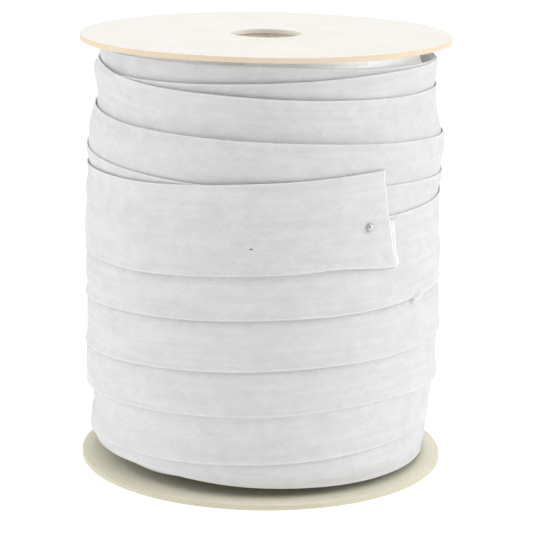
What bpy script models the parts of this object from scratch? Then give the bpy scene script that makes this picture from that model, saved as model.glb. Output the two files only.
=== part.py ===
"""Roll of folded bias tape on an upright spool.

Two chipboard discs close the ends of a paper tube. White tape, 25 mm wide, is wound
round the tube in overlapping slanting turns: the older layer comes down from the top
disc and shows the top edges of its turns, and the newer one climbs from the bottom disc
and shows the bottom edges. The tape's end lies loose on the roll and is held by a pin.

Units are metres, +Z is up, and the origin is the centre of the face the spool rests on.
Angles round the roll are in degrees from the front (-Y), and grow towards +X.
"""
import math

import bmesh
import bpy
from mathutils import Vector

MM = 0.001

# Driving dimensions.
SPOOL_HEIGHT = 123.5 * MM
DISC_RADIUS = 52.5 * MM
DISC_THICKNESS = 1.5 * MM
DISC_EDGE = 0.2 * MM
BORE_RADIUS = 10.0 * MM
TUBE_INNER_RADIUS = 10.3 * MM
TUBE_OUTER_RADIUS = 13.0 * MM
GAP = 0.3 * MM
ROUND_STEPS = 80

TAPE_WIDTH = 25.0 * MM
WOUND_TOP = 121.2 * MM
WOUND_BOTTOM = 5.0 * MM
TURN_STEP = 0.8 * MM
STEP_HEIGHT = 0.3 * MM
STEP_FADE = 2.5 * MM

# Heights in mm of the edges that show, at 65 degrees left, in front and 65 degrees right.
# Each row is one turn, and the next row carries on where the turn comes round again.
SIDE_ANGLE = 65.0
FALLING_TURNS = (
    # turn, left, front, right
    ("top", 114.8, 116.1, 118.6),
    ("second", 115.6, 112.3, 110.4),
    ("third", 103.1, 100.8, 97.9),
    ("fourth", 91.5, 88.6, 86.7),
)
CLIMBING_TURNS = (
    # turn, left, front, right
    ("end", 62.8, 65.1, 67.9),
    ("fifth", 49.7, 52.9, 54.6),
    ("fourth", 35.6, 38.8, 40.1),
    ("third", 23.4, 25.7, 26.8),
    ("second", 9.8, 12.0, 14.1),
    ("lowest", 6.8, 5.2, 5.2),
)
# The newer layer's upper edge, by angle: left of the loose end it is hidden.
LAYER_TOP = (
    # degrees, height in mm
    (-180.0, 84.0),
    (-150.0, 85.0),
    (-115.0, 72.5),
    (-65.0, 74.8),
    (0.0, 77.9),
    (65.0, 80.3),
    (180.0, 84.0),
)
# How far the roll bulges, by height.
BULGE = (
    # height in mm, radius in mm
    (5.0, 48.4),
    (14.0, 48.9),
    (22.0, 49.7),
    (30.0, 50.7),
    (40.0, 51.1),
    (60.0, 50.8),
    (75.0, 50.3),
    (88.0, 50.2),
    (98.0, 48.9),
    (108.0, 47.8),
    (116.0, 47.9),
    (122.0, 46.8),
)

# The loose end: a sheet on the roll, from behind on the left to its slanting cut.
END_THICKNESS = 1.0 * MM
END_START_ANGLE = -150.0
CUT_TOP_ANGLE = 39.0
CUT_BOTTOM_ANGLE = 45.5
END_STEPS = 44
END_ROWS = 6
END_LIFT = 0.4 * MM
END_LIFT_ANGLE = 14.0
END_BED = 0.6 * MM

PIN_LENGTH = 34.0 * MM
PIN_RADIUS = 0.3 * MM
PIN_POINT_LENGTH = 3.0 * MM
PIN_HEAD_RADIUS = 1.0 * MM
PIN_HEAD_HEIGHT = 1.2 * MM
PIN_POINT_ANGLE = -3.6
PIN_POINT_HEIGHT = 72.7 * MM
PIN_POINT_RADIUS = 51.9 * MM
PIN_HEAD_ANGLE = 33.6
PIN_HEAD_LEVEL = 77.2 * MM
PIN_CHANNEL_RADIUS = 0.7 * MM

CARD = ("Manila chipboard", (0.80, 0.74, 0.60), 0.85, 0.0)
CUT_CARD = ("Grey-brown paper tube", (0.62, 0.53, 0.38), 0.9, 0.0)
COTTON = ("White cotton tape", (0.84, 0.84, 0.83), 0.9, 0.0)
LOOSE_COTTON = ("White cotton tape end", (0.87, 0.87, 0.86), 0.9, 0.0)
STEEL = ("Nickel plated pin", (0.78, 0.77, 0.75), 0.25, 1.0)


def clear_scene():
    for old in list(bpy.data.objects):
        bpy.data.objects.remove(old, do_unlink=True)


def new_collection(name):
    collection = bpy.data.collections.new(name)
    bpy.context.scene.collection.children.link(collection)
    return collection


def make_material(name, colour, roughness, metallic):
    material = bpy.data.materials.new(name)
    material.use_nodes = True
    shader = material.node_tree.nodes["Principled BSDF"]
    shader.inputs["Base Color"].default_value = (*colour, 1.0)
    shader.inputs["Roughness"].default_value = roughness
    shader.inputs["Metallic"].default_value = metallic
    return material


def add_object(name, mesh, collection, finish):
    item = bpy.data.objects.new(name, mesh)
    mesh.materials.append(make_material(*finish))
    collection.objects.link(item)
    return item


def turned(name, outline, closed, collection, finish, steps):
    """Turn an outline of (radius, height) points round Z; it runs down its outer side."""
    mesh = bpy.data.meshes.new(name)
    points = [(radius, 0.0, height) for radius, height in outline]
    edges = [(i, i + 1) for i in range(len(points) - 1)]
    if closed:
        edges.append((len(points) - 1, 0))
    mesh.from_pydata(points, edges, [])
    item = add_object(name, mesh, collection, finish)
    screw = item.modifiers.new("Turn", "SCREW")
    screw.steps = steps
    screw.render_steps = steps
    screw.use_merge_vertices = True
    screw.merge_threshold = 0.00001
    screw.use_smooth_shade = False
    return item


def disc(name, bottom, collection):
    top = bottom + DISC_THICKNESS
    outline = (
        (BORE_RADIUS, top),
        (DISC_RADIUS - DISC_EDGE, top),
        (DISC_RADIUS, top - DISC_EDGE),
        (DISC_RADIUS, bottom + DISC_EDGE),
        (DISC_RADIUS - DISC_EDGE, bottom),
        (BORE_RADIUS, bottom),
    )
    return turned(name, outline, True, collection, CARD, ROUND_STEPS)


def tube(collection):
    low = DISC_THICKNESS + GAP
    high = SPOOL_HEIGHT - DISC_THICKNESS - GAP
    outline = (
        (TUBE_INNER_RADIUS, high),
        (TUBE_OUTER_RADIUS, high),
        (TUBE_OUTER_RADIUS, low),
        (TUBE_INNER_RADIUS, low),
    )
    return turned("core_tube", outline, True, collection, CUT_CARD, ROUND_STEPS)


def along(table, place):
    """Straight-line reading of a two-column table at place, both in the table's units."""
    for (low, low_value), (high, high_value) in zip(table, table[1:]):
        if place <= high:
            share = max(0.0, (place - low) / (high - low))
            return low_value + share * (high_value - low_value)
    return table[-1][1]


def smooth_along(table, place):
    """The same reading on a curve that runs evenly through the table's rows."""
    last = len(table) - 1
    index = 0
    while index < last - 1 and place > table[index + 1][0]:
        index += 1
    low, high = table[index], table[index + 1]
    before, after = table[max(index - 1, 0)], table[min(index + 2, last)]
    span = high[0] - low[0]
    share = min(max((place - low[0]) / span, 0.0), 1.0)
    rise_low = span * (high[1] - before[1]) / (high[0] - before[0])
    rise_high = span * (after[1] - low[1]) / (after[0] - low[0])
    square, cube = share ** 2, share ** 3
    return (
        (2 * cube - 3 * square + 1) * low[1]
        + (cube - 2 * square + share) * rise_low
        + (3 * square - 2 * cube) * high[1]
        + (cube - square) * rise_high
    )


def helix_table(turns, direction):
    """One table of (unrolled angle, height in mm) for all turns of a layer."""
    rows = []
    for number, (_, left, front, right) in enumerate(turns):
        sides = (left, front, right) if direction > 0 else (right, front, left)
        for place, height in zip((-SIDE_ANGLE, 0.0, SIDE_ANGLE), sides):
            rows.append((360.0 * number + place, height))
    return rows


FALLING = [(-180.0, 123.0)] + helix_table(FALLING_TURNS, 1) + [(1260.0, 84.0)]
CLIMBING = [(-180.0, 71.0)] + helix_table(CLIMBING_TURNS, -1) + [(1980.0, 4.5)]


def layer_top(angle):
    return smooth_along(LAYER_TOP, angle) * MM


def falling_edge(angle, turn):
    return smooth_along(FALLING, angle + 360.0 * turn) * MM


def climbing_edge(angle, turn):
    return smooth_along(CLIMBING, 360.0 * turn - angle) * MM


def bulge(height):
    return smooth_along(BULGE, height / MM) * MM


def fade(distance, length):
    """0 at no distance, rising evenly to 1 at length."""
    share = min(max(distance / length, 0.0), 1.0)
    return share * share * (3.0 - 2.0 * share)


def bed(angle, height):
    """How far the roll is pressed in under the loose end."""
    start = fade(angle - END_START_ANGLE, 10.0)
    finish = fade(CUT_BOTTOM_ANGLE + 10.0 - angle, 10.0)
    inside = fade(height - 60.0 * MM, 3.0 * MM) * fade(90.0 * MM - height, 5.0 * MM)
    return END_BED * start * finish * inside


def roll_radius(angle, height):
    return bulge(height) - bed(angle, height)


def edge_points(angle, height, size, below):
    """The two corners of one turn's edge: below is True where the lower side stands out."""
    radius = roll_radius(angle, height)
    inner = radius - TURN_STEP * size
    lip = STEP_HEIGHT * size
    if below:
        return [(inner, height), (radius, height - lip)]
    return [(radius, height + lip), (inner, height)]


def roll_outline(angle):
    """The roll's outer outline at one angle, from top to bottom, as (radius, height)."""
    upper_limit = layer_top(angle) + 1.5 * MM
    middle = 71.0 * MM
    points = [(roll_radius(angle, WOUND_TOP), WOUND_TOP)]
    for turn in range(len(FALLING_TURNS)):
        height = min(max(falling_edge(angle, turn), upper_limit), WOUND_TOP)
        room = min(height - upper_limit, WOUND_TOP - height)
        points += edge_points(angle, height, fade(room, STEP_FADE), True)
    points.append((roll_radius(angle, upper_limit), upper_limit))
    points += edge_points(angle, layer_top(angle), 0.8, True)
    points.append((roll_radius(angle, middle), middle))
    for turn in range(len(CLIMBING_TURNS)):
        height = min(max(climbing_edge(angle, turn), WOUND_BOTTOM), middle)
        size = fade(min(middle - height, height - WOUND_BOTTOM), STEP_FADE)
        if turn == 0:
            size *= fade(END_START_ANGLE + 10.0 - angle, 10.0)
        points += edge_points(angle, height, size, False)
    points.append((roll_radius(angle, WOUND_BOTTOM), WOUND_BOTTOM))
    return points


def on_roll(angle, radius, height):
    turn = math.radians(angle)
    return Vector((radius * math.sin(turn), -radius * math.cos(turn), height))


def loft(name, sections, collection, finish):
    """Join closed sections of equal length in order; the first and last may be the same."""
    shape = bmesh.new()
    rings = [[shape.verts.new(point) for point in section] for section in sections]
    count = len(rings[0])
    for ring, following in zip(rings, rings[1:]):
        for i in range(count):
            j = (i + 1) % count
            shape.faces.new((ring[i], ring[j], following[j], following[i]))
    if (sections[0][0] - sections[-1][0]).length > GAP:
        shape.faces.new(list(reversed(rings[0])))
        shape.faces.new(rings[-1])
    bmesh.ops.remove_doubles(shape, verts=shape.verts, dist=0.00002)
    bmesh.ops.dissolve_degenerate(shape, edges=shape.edges, dist=0.00001)
    bmesh.ops.recalc_face_normals(shape, faces=shape.faces)
    mesh = bpy.data.meshes.new(name)
    shape.to_mesh(mesh)
    shape.free()
    return add_object(name, mesh, collection, finish)


def winding(collection):
    hole = TUBE_OUTER_RADIUS + GAP
    sections = []
    for step in range(ROUND_STEPS + 1):
        angle = -180.0 + 360.0 * step / ROUND_STEPS
        outline = [(hole, WOUND_TOP)] + roll_outline(angle) + [(hole, WOUND_BOTTOM)]
        sections.append([on_roll(angle, radius, height) for radius, height in outline])
    return loft("tape_winding", sections, collection, COTTON)


def roll_surface(angle, height, reach):
    """The largest radius of the roll within reach above and below a height."""
    outline = [(level, radius) for radius, level in reversed(roll_outline(angle))]
    places = [height + reach * share / 4.0 for share in range(-4, 5)]
    return max(along(outline, place) for place in places)


def loose_end_section(share):
    """One cut across the loose end, share of the way along it."""
    inner, outer = [], []
    for row in range(END_ROWS + 1):
        across = row / END_ROWS
        cut = CUT_BOTTOM_ANGLE + across * (CUT_TOP_ANGLE - CUT_BOTTOM_ANGLE)
        angle = END_START_ANGLE + share * (cut - END_START_ANGLE)
        droop = 1.2 * MM * fade(angle - 24.0, 20.0) * (1.0 - across)
        bottom = climbing_edge(angle, 0) - droop
        height = bottom + across * (climbing_edge(angle, 0) + TAPE_WIDTH - bottom)
        lift = END_LIFT * fade(angle - cut + END_LIFT_ANGLE, END_LIFT_ANGLE)
        radius = roll_surface(angle, height, TAPE_WIDTH / END_ROWS / 2.0) + GAP + lift
        inner.append(on_roll(angle, radius, height))
        outer.append(on_roll(angle, radius + END_THICKNESS, height))
    return inner + list(reversed(outer))


def loose_end(collection):
    sections = [loose_end_section(step / END_STEPS) for step in range(END_STEPS + 1)]
    return loft("tape_end", sections, collection, LOOSE_COTTON)


def pin_place():
    point = on_roll(PIN_POINT_ANGLE, PIN_POINT_RADIUS, PIN_POINT_HEIGHT)
    head = on_roll(PIN_HEAD_ANGLE, PIN_POINT_RADIUS + 0.5 * MM, PIN_HEAD_LEVEL)
    return point, (head - point).to_track_quat("Z", "Y")


def pin(collection):
    """A straight pin, turned round its own axis with its point at the origin."""
    shank_end = PIN_LENGTH - PIN_HEAD_HEIGHT
    head_middle = shank_end + PIN_HEAD_HEIGHT / 2.0
    outline = [(0.0, PIN_LENGTH)]
    for step in range(1, 8):
        turn = math.pi * step / 8.0
        radius = PIN_HEAD_RADIUS * math.sin(turn)
        height = head_middle + PIN_HEAD_HEIGHT / 2.0 * math.cos(turn)
        if radius > PIN_RADIUS:
            outline.append((radius, height))
    outline += [
        (PIN_RADIUS, shank_end),
        (PIN_RADIUS, PIN_POINT_LENGTH),
        (0.0, 0.0),
    ]
    item = turned("pin", outline, False, collection, STEEL, 12)
    item.location, turn = pin_place()
    item.rotation_mode = "QUATERNION"
    item.rotation_quaternion = turn
    return item


def cut_pin_channel(pieces, cutters):
    """The pin's way through the cloth, as a clearance round it."""
    point, turn = pin_place()
    length = PIN_LENGTH + 4.0 * MM
    bpy.ops.mesh.primitive_cylinder_add(
        vertices=12,
        radius=PIN_CHANNEL_RADIUS,
        depth=length,
        location=point + turn @ Vector((0.0, 0.0, length / 2.0 - 4.0 * MM)),
        rotation=turn.to_euler(),
    )
    cutter = bpy.context.object
    cutter.name = "pin_channel_cutter"
    for owner in list(cutter.users_collection):
        owner.objects.unlink(cutter)
    cutters.objects.link(cutter)
    cutter.hide_render = True
    cutter.display_type = "WIRE"
    for piece in pieces:
        cut = piece.modifiers.new("Pin channel", "BOOLEAN")
        cut.operation = "DIFFERENCE"
        cut.solver = "EXACT"
        cut.object = cutter


def smooth(item):
    item.data.shade_smooth()
    item.data.set_sharp_from_angle(angle=math.radians(35.0))


def main():
    clear_scene()
    roll = new_collection("Roll of bias tape")
    cutters = new_collection("Cutters")
    disc("flange_bottom", 0.0, roll)
    disc("flange_top", SPOOL_HEIGHT - DISC_THICKNESS, roll)
    tube(roll)
    wound = winding(roll)
    end = loose_end(roll)
    smooth(wound)
    smooth(end)
    pin(roll)
    cut_pin_channel((wound, end), cutters)


main()
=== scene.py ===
"""Roll of folded bias tape on an upright card spool.

An add-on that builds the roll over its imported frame: two card discs, a paper tube, the
wound turns of tape, the loose end with its folded layers, the pin and a thread tuft.

Lengths are in metres and +Z is up. Heights and widths in the short tables are in
millimetres. Angles round the roll are in degrees from the front (-Y), towards +X.
"""
import math

import bmesh
import bpy
import numpy as np
from bpy.props import FloatProperty, FloatVectorProperty, IntProperty, PointerProperty
from mathutils import Matrix, Vector, geometry, noise


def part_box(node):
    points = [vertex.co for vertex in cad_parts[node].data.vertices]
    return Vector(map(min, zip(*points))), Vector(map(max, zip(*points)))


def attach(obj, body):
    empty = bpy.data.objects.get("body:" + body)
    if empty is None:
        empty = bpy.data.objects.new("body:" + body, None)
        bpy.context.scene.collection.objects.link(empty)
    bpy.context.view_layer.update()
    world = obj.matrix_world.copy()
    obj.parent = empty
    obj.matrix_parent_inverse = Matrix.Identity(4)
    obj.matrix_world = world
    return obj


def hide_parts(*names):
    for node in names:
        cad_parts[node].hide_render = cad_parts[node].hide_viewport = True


bl_info = {
    "name": "Bias Tape Roll",
    "version": (1, 0, 0),
    "blender": (4, 5, 0),
    "location": "View3D > Sidebar > Tape Roll",
    "description": "Builds a roll of folded bias tape on a card spool",
    "category": "Add Mesh",
}

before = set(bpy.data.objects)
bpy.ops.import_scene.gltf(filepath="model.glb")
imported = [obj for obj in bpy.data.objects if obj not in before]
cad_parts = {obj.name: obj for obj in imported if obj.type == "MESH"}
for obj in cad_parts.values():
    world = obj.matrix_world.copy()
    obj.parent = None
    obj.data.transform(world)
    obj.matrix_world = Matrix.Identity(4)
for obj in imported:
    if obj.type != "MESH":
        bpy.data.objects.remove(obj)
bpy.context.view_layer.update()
BODY = "root"
MM = 0.001

DISC_LOW, DISC_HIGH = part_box("flange_bottom")
TOP_DISC_LOW, TOP_DISC_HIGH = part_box("flange_top")
TUBE_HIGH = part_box("core_tube")[1]
# How far the tube stops short of each disc.
TUBE_GAP = 0.05 * MM


def hex_colour(code):
    """An sRGB hex colour as linear red, green and blue."""
    values = [int(code[i : i + 2], 16) / 255.0 for i in (1, 3, 5)]
    return tuple(v / 12.92 if v <= 0.04045 else ((v + 0.055) / 1.055) ** 2.4 for v in values)


# ---------------------------------------------------------------------------------------
# The winding's plan: which edges show, and where.

EDGE_ANGLES = (-75.0, -40.0, 0.0, 40.0, 75.0)

# The older layer comes down the roll and shows the top edges of its turns.
FALLING_TURNS = (
    # turn, heights and stand-offs at the edge angles
    ("neck", (120.6, 120.5, 120.2, 118.9, 118.0), (0.5, 0.4, 0.3, 0.3, 2.8)),
    ("under", (114.5, 115.0, 116.1, 117.3, 117.5), (0.8, 0.7, 0.7, 0.2, 0.0)),
    ("top", (116.4, 113.8, 112.3, 110.8, 110.3), (0.0, 0.3, 1.0, 0.2, 0.0)),
    ("second", (103.7, 102.0, 100.8, 99.1, 97.5), (0.1, 0.4, 1.2, 0.2, 0.0)),
    ("third", (92.0, 90.2, 88.6, 87.4, 86.4), (0.0, 0.3, 0.5, 0.0, 0.0)),
)
# The newer layer climbs and shows the bottom edges of its turns.
CLIMBING_TURNS = (
    # turn, heights and stand-offs at the edge angles
    ("end", (62.6, 63.2, 65.1, 67.2, 68.2), (0.2, 0.3, 0.45, 0.5, 0.3)),
    ("fifth", (49.3, 51.0, 52.9, 53.9, 54.9), (0.2, 0.2, 0.3, 0.3, 0.1)),
    ("fourth", (35.1, 36.9, 38.8, 39.7, 40.3), (0.2, 0.2, 0.25, 0.25, 0.4)),
    ("third", (23.0, 24.5, 25.7, 27.4, 26.4), (0.5, 0.2, 0.2, 0.2, 0.3)),
    ("second", (9.5, 10.5, 12.0, 13.8, 14.2), (0.3, 0.2, 0.45, 0.3, 0.1)),
    ("lowest", (6.4, 6.7, 4.6, 3.6, 3.2), (0.9, 0.9, 1.1, 1.3, 1.4)),
)
# Where each layer goes before and after its table, hidden under other turns.
FALLING_START = (-125.0, 120.7, 0.2)
FALLING_ENDS = ((1620.0, 84.2, 0.1), (1780.0, 78.0, 0.0))
CLIMBING_START = (-180.0, 71.0, 0.3)
CLIMBING_ENDS = ((1980.0, 9.0, 0.0), (2060.0, 11.0, 0.0))
# How far down or up from its edge a turn's stand-off dies away.
FALLING_REACH = 6.0
CLIMBING_REACH = 3.0

# The older turns under both layers, as one body that isn't quite round.
INNER_BODY = (
    # height, radius on the left, radius on the right
    (5.2, 45.4, 45.4),
    (8.0, 47.4, 46.9),
    (11.0, 48.4, 47.5),
    (15.0, 47.7, 47.7),
    (20.0, 47.8, 47.6),
    (25.0, 48.7, 48.6),
    (30.0, 49.2, 49.1),
    (38.0, 49.6, 49.3),
    (45.0, 49.7, 49.9),
    (52.0, 49.5, 49.7),
    (60.0, 49.2, 49.3),
    (68.0, 48.9, 49.0),
    (76.0, 48.6, 48.5),
    (84.0, 48.7, 48.9),
    (90.0, 48.5, 49.1),
    (94.0, 47.9, 48.4),
    (98.0, 46.4, 47.4),
    (103.0, 45.6, 46.3),
    (107.0, 45.3, 45.7),
    (112.0, 45.6, 45.4),
    (115.5, 45.9, 44.4),
    (118.0, 45.9, 43.3),
    (121.2, 45.7, 43.0),
)

# How much the inner turns sink away under the top disc, in front.
TOP_HOLLOW = 2.6
# Over which unrolled angles each layer takes up room under the turns laid after it.
FALLING_LAID = (-110.0, 1760.0)
CLIMBING_LAID = (-46.0, 2040.0)
# Each ribbon's unrolled angles, and where the loose end runs on from the climbing one.
FALLING_CHAIN = (-109.5, 1758.0)
CLIMBING_CHAIN = (2040.0, 150.0)
LOOSE_START_ANGLE = -150.0
# The radius at which lengths along the tape are measured for its weave, and how far apart
# the weave of its front and back is kept.
WEAVE_RADIUS = 50.0 * MM
WEAVE_APART = 0.03

# The grid the turns are laid on: columns round the roll and levels up it.
COLUMNS = 240
COLUMN_ANGLE = 360.0 / COLUMNS
LEVEL = 0.25
LEVELS = 500


def smooth_curve(knots, places):
    """Read rows of (place, value) on an even curve through them, at many places."""
    at, value = np.array(knots, float).T
    slope = np.gradient(value, at)
    places = np.asarray(places, float)
    low = np.clip(np.searchsorted(at, places) - 1, 0, len(at) - 2)
    span = at[low + 1] - at[low]
    share = np.clip((places - at[low]) / span, 0.0, 1.0)
    square, cube = share**2, share**3
    return (
        (2 * cube - 3 * square + 1) * value[low]
        + (cube - 2 * square + share) * span * slope[low]
        + (3 * square - 2 * cube) * value[low + 1]
        + (cube - square) * span * slope[low + 1]
    )


def ease(value, start, end):
    """0 up to start, 1 from end on, and an even rise between."""
    share = np.clip((np.asarray(value, float) - start) / (end - start), 0.0, 1.0)
    return share * share * (3.0 - 2.0 * share)


def unrolled(turns, direction):
    """A layer's edge as rows of (unrolled angle, height, stand-off), turn after turn."""
    rows = []
    for number, (_, heights, stand_offs) in enumerate(turns):
        places = list(zip(EDGE_ANGLES, heights, stand_offs))
        for angle, height, off in places[::direction]:
            rows.append((360.0 * number + direction * angle, height, off))
    return rows


FALLING = [FALLING_START, *unrolled(FALLING_TURNS, 1), *FALLING_ENDS]
CLIMBING = [CLIMBING_START, *unrolled(CLIMBING_TURNS, -1), *CLIMBING_ENDS]


def edge_at(layer, unrolled_angle):
    """Height and stand-off of a layer's edge at unrolled angles, with a slight waver."""
    angle = np.asarray(unrolled_angle, float)
    height = smooth_curve([row[:2] for row in layer], angle)
    off = smooth_curve([(row[0], row[2]) for row in layer], angle)
    waver = 0.10 * np.sin(np.radians(angle * 2.7) + 1.0)
    waver += 0.06 * np.sin(np.radians(angle * 7.3))
    return height + waver, np.maximum(off, 0.0)


def blur_levels(field, passes):
    for _ in range(passes):
        padded = np.pad(field, ((0, 0), (1, 1)), mode="edge")
        field = (padded[:, :-2] + 2.0 * padded[:, 1:-1] + padded[:, 2:]) / 4.0
    return field


def blur_round(field, passes):
    for _ in range(passes):
        field = (np.roll(field, 1, 0) + 2.0 * field + np.roll(field, -1, 0)) / 4.0
    return field


def spread(field, columns, levels):
    """The highest value within reach, as stiff cloth bridges what lies under it."""
    result = field.copy()
    for step in range(-levels, levels + 1):
        result = np.maximum(result, np.roll(field, step, 1))
    wide = result.copy()
    for step in range(-columns, columns + 1):
        wide = np.maximum(wide, np.roll(result, step, 0))
    return wide


def waviness(angle, height, seed):
    """A soft unevenness from 0 to 1 over the roll."""
    turn = math.radians(angle)
    place = Vector((math.sin(turn) * 3.2, -math.cos(turn) * 3.2, height / 16.0 + seed * 9.0))
    return 0.5 + 0.5 * noise.noise(place)


# Where the pin's head and point lie on the roll, each an angle, a height and a radius.
PIN_HEAD_AT = (33.9, 76.8, 50.95)
PIN_POINT_AT = (-4.1, 72.3, 50.78)


def pin_dimple(angles, heights, radius):
    """How far the cloth is pressed in round the pin's head and its point, in mm."""
    depth = 0.0
    for at, press, reach in ((PIN_HEAD_AT, 0.4, 1.7), (PIN_POINT_AT, 0.12, 0.9)):
        across = np.radians(angles - at[0]) * radius
        away = np.hypot(across, heights - at[1])
        depth = depth + press * np.exp(-((away / reach) ** 2))
    return depth


class LaidTurn:
    """One turn on the grid: where its edge is, what it lies on, and how thick it is."""

    def __init__(self, layer, number, inner, edge, thickness):
        self.layer = layer
        self.number = number
        self.inner = inner
        self.edge = edge
        self.thickness = thickness

    def radius_at(self, angle, height):
        """Inner radius at arrays of angles and heights, read between grid points."""
        column = (np.asarray(angle, float) + 180.0) / COLUMN_ANGLE
        left = np.floor(column).astype(int)
        share = column - left
        right = (left + 1) % COLUMNS
        level = np.clip(np.asarray(height, float) / LEVEL, 0, LEVELS - 2)
        low = np.floor(level).astype(int)
        up = level - low
        near = self.inner[left, low] * (1 - up) + self.inner[left, low + 1] * up
        far = self.inner[right, low] * (1 - up) + self.inner[right, low + 1] * up
        return near * (1 - share) + far * share


def inner_radius(angles, heights):
    """The inner body's radius, eased from its left side round to its right."""
    left = smooth_curve([(row[0], row[1]) for row in INNER_BODY], heights)
    right = smooth_curve([(row[0], row[2]) for row in INNER_BODY], heights)
    to_right = ease(angles, 35.0, 80.0) * ease(-np.asarray(angles), -180.0, -130.0)
    hollow = ease(heights, 119.5, 120.3) * ease(-np.abs(angles), -44.0, -12.0)
    return left + (right - left) * to_right - TOP_HOLLOW * hollow


def lay_turns(width, thickness):
    """Wind both layers on, each turn on the ones before it, column by column."""
    angles = -180.0 + COLUMN_ANGLE * np.arange(COLUMNS)
    heights = LEVEL * np.arange(LEVELS)
    angle_grid, height_grid = np.meshgrid(angles, heights, indexing="ij")
    surface = inner_radius(angle_grid, height_grid)
    dimple = pin_dimple(angle_grid, height_grid, 50.5)
    order = [("falling", n) for n in range(6)] + [("climbing", n) for n in range(6, -1, -1)]
    laid = {}
    for count, (layer, number) in enumerate(order):
        falling = layer == "falling"
        chain = angles + 360.0 * number if falling else 360.0 * number - angles
        rows = FALLING if falling else CLIMBING
        edge, off = edge_at(rows, chain)
        first, last = FALLING_LAID if falling else CLIMBING_LAID
        here = (chain >= first) & (chain <= last)
        start = ease(chain, first, first + 25.0) if falling else ease(-chain, -last, 25.0 - last)
        depth = thickness * np.where(here, start, 0.0)
        bottom = edge - width if falling else edge
        inside = (height_grid >= bottom[:, None]) & (height_grid <= bottom[:, None] + width)
        inside &= here[:, None]
        rest = blur_round(blur_levels(spread(surface, 1, 4), 14), 6)
        rest = np.maximum(rest, surface)
        from_edge = np.abs(height_grid - edge[:, None])
        reach = FALLING_REACH if falling else CLIMBING_REACH
        rest = rest + off[:, None] * np.exp(-from_edge / reach)
        wavy = [[waviness(a, h, count) for h in heights[::20]] for a in angles[::4]]
        wavy = np.repeat(np.array(wavy), 4, axis=0)
        wavy = np.stack([np.interp(heights, heights[::20], row) for row in wavy])
        rest = rest + 0.12 * blur_round(wavy, 12) - dimple
        laid[layer, number] = LaidTurn(layer, number, rest, edge, depth)
        surface = np.where(inside, rest + depth[:, None], surface)
    return laid


def place_on_roll(angle, radius, height):
    """Points in metres from angles in degrees and lengths in mm."""
    turn = np.radians(angle)
    return np.stack((radius * np.sin(turn) * MM, -radius * np.cos(turn) * MM, height * MM), axis=-1)


# ---------------------------------------------------------------------------------------
# Meshes and materials.


def mesh_from_grid(name, points, uvs, caps=((), ())):
    """A mesh from sections that are closed loops of points.

    The caps are the faces that close the first and the last section, as the numbers of its
    points. They stay flat, so that the smooth cloth runs straight up to its cut.
    """
    sections, count = points.shape[:2]
    first = np.arange(sections - 1)[:, None] * count
    here = np.arange(count)[None, :]
    after = (here + 1) % count
    faces = np.stack(
        (first + here, first + after, first + count + after, first + count + here), axis=-1
    ).reshape(-1, 4)
    mesh = bpy.data.meshes.new(name)
    faces = faces.tolist()
    sides = len(faces)
    faces += [list(cap)[::-1] for cap in caps[0]]
    faces += [[(sections - 1) * count + i for i in cap] for cap in caps[1]]
    mesh.from_pydata(points.reshape(-1, 3).tolist(), [], faces)
    mesh.polygons.foreach_set("use_smooth", [number < sides for number in range(len(faces))])
    layer = mesh.uv_layers.new(name="tape_way")
    flat = uvs.reshape(-1, 2)
    corners = np.empty(len(mesh.loops), int)
    mesh.loops.foreach_get("vertex_index", corners)
    layer.data.foreach_set("uv", flat[corners].ravel())
    mesh.update()
    return mesh


def face_outwards(mesh):
    shape = bmesh.new()
    shape.from_mesh(mesh)
    bmesh.ops.recalc_face_normals(shape, faces=shape.faces)
    shape.to_mesh(mesh)
    shape.free()


def add_piece(name, mesh, material, slot, *nodes):
    """Put a finished mesh in the scene, riding on the roll's one body."""
    piece = bpy.data.objects.new(name, mesh)
    bpy.context.collection.objects.link(piece)
    return finish_piece(piece, material, slot, *nodes)


def finish_piece(piece, material, slot, *nodes):
    if material is not None:
        piece.data.materials.append(material)
    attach(piece, BODY)
    if nodes:
        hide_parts(*nodes)
    return piece


def deselect():
    if bpy.context.object is not None and bpy.context.object.mode != "OBJECT":
        bpy.ops.object.mode_set(mode="OBJECT")
    bpy.ops.object.select_all(action="DESELECT")


def apply_place(piece):
    deselect()
    piece.select_set(True)
    bpy.context.view_layer.objects.active = piece
    bpy.ops.object.transform_apply(location=True, rotation=True, scale=True)


def add_node(tree, kind, settings=None, links=None):
    """Add one node, with its settings and the sockets that feed its inputs."""
    node = tree.nodes.new(kind)
    for name, value in (settings or {}).items():
        if isinstance(name, int) or name in node.inputs.keys():
            node.inputs[name].default_value = value
        else:
            setattr(node, name, value)
    for name, socket in (links or {}).items():
        tree.links.new(socket, node.inputs[name])
    return node


def new_material(name, colour, roughness, metallic=0.0):
    """A material with its Principled shader, ready for its own nodes."""
    material = bpy.data.materials.new(name)
    material.use_nodes = True
    shader = material.node_tree.nodes["Principled BSDF"]
    shader.inputs["Base Color"].default_value = (*colour, 1.0)
    shader.inputs["Roughness"].default_value = roughness
    shader.inputs["Metallic"].default_value = metallic
    return material, material.node_tree, shader


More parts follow.
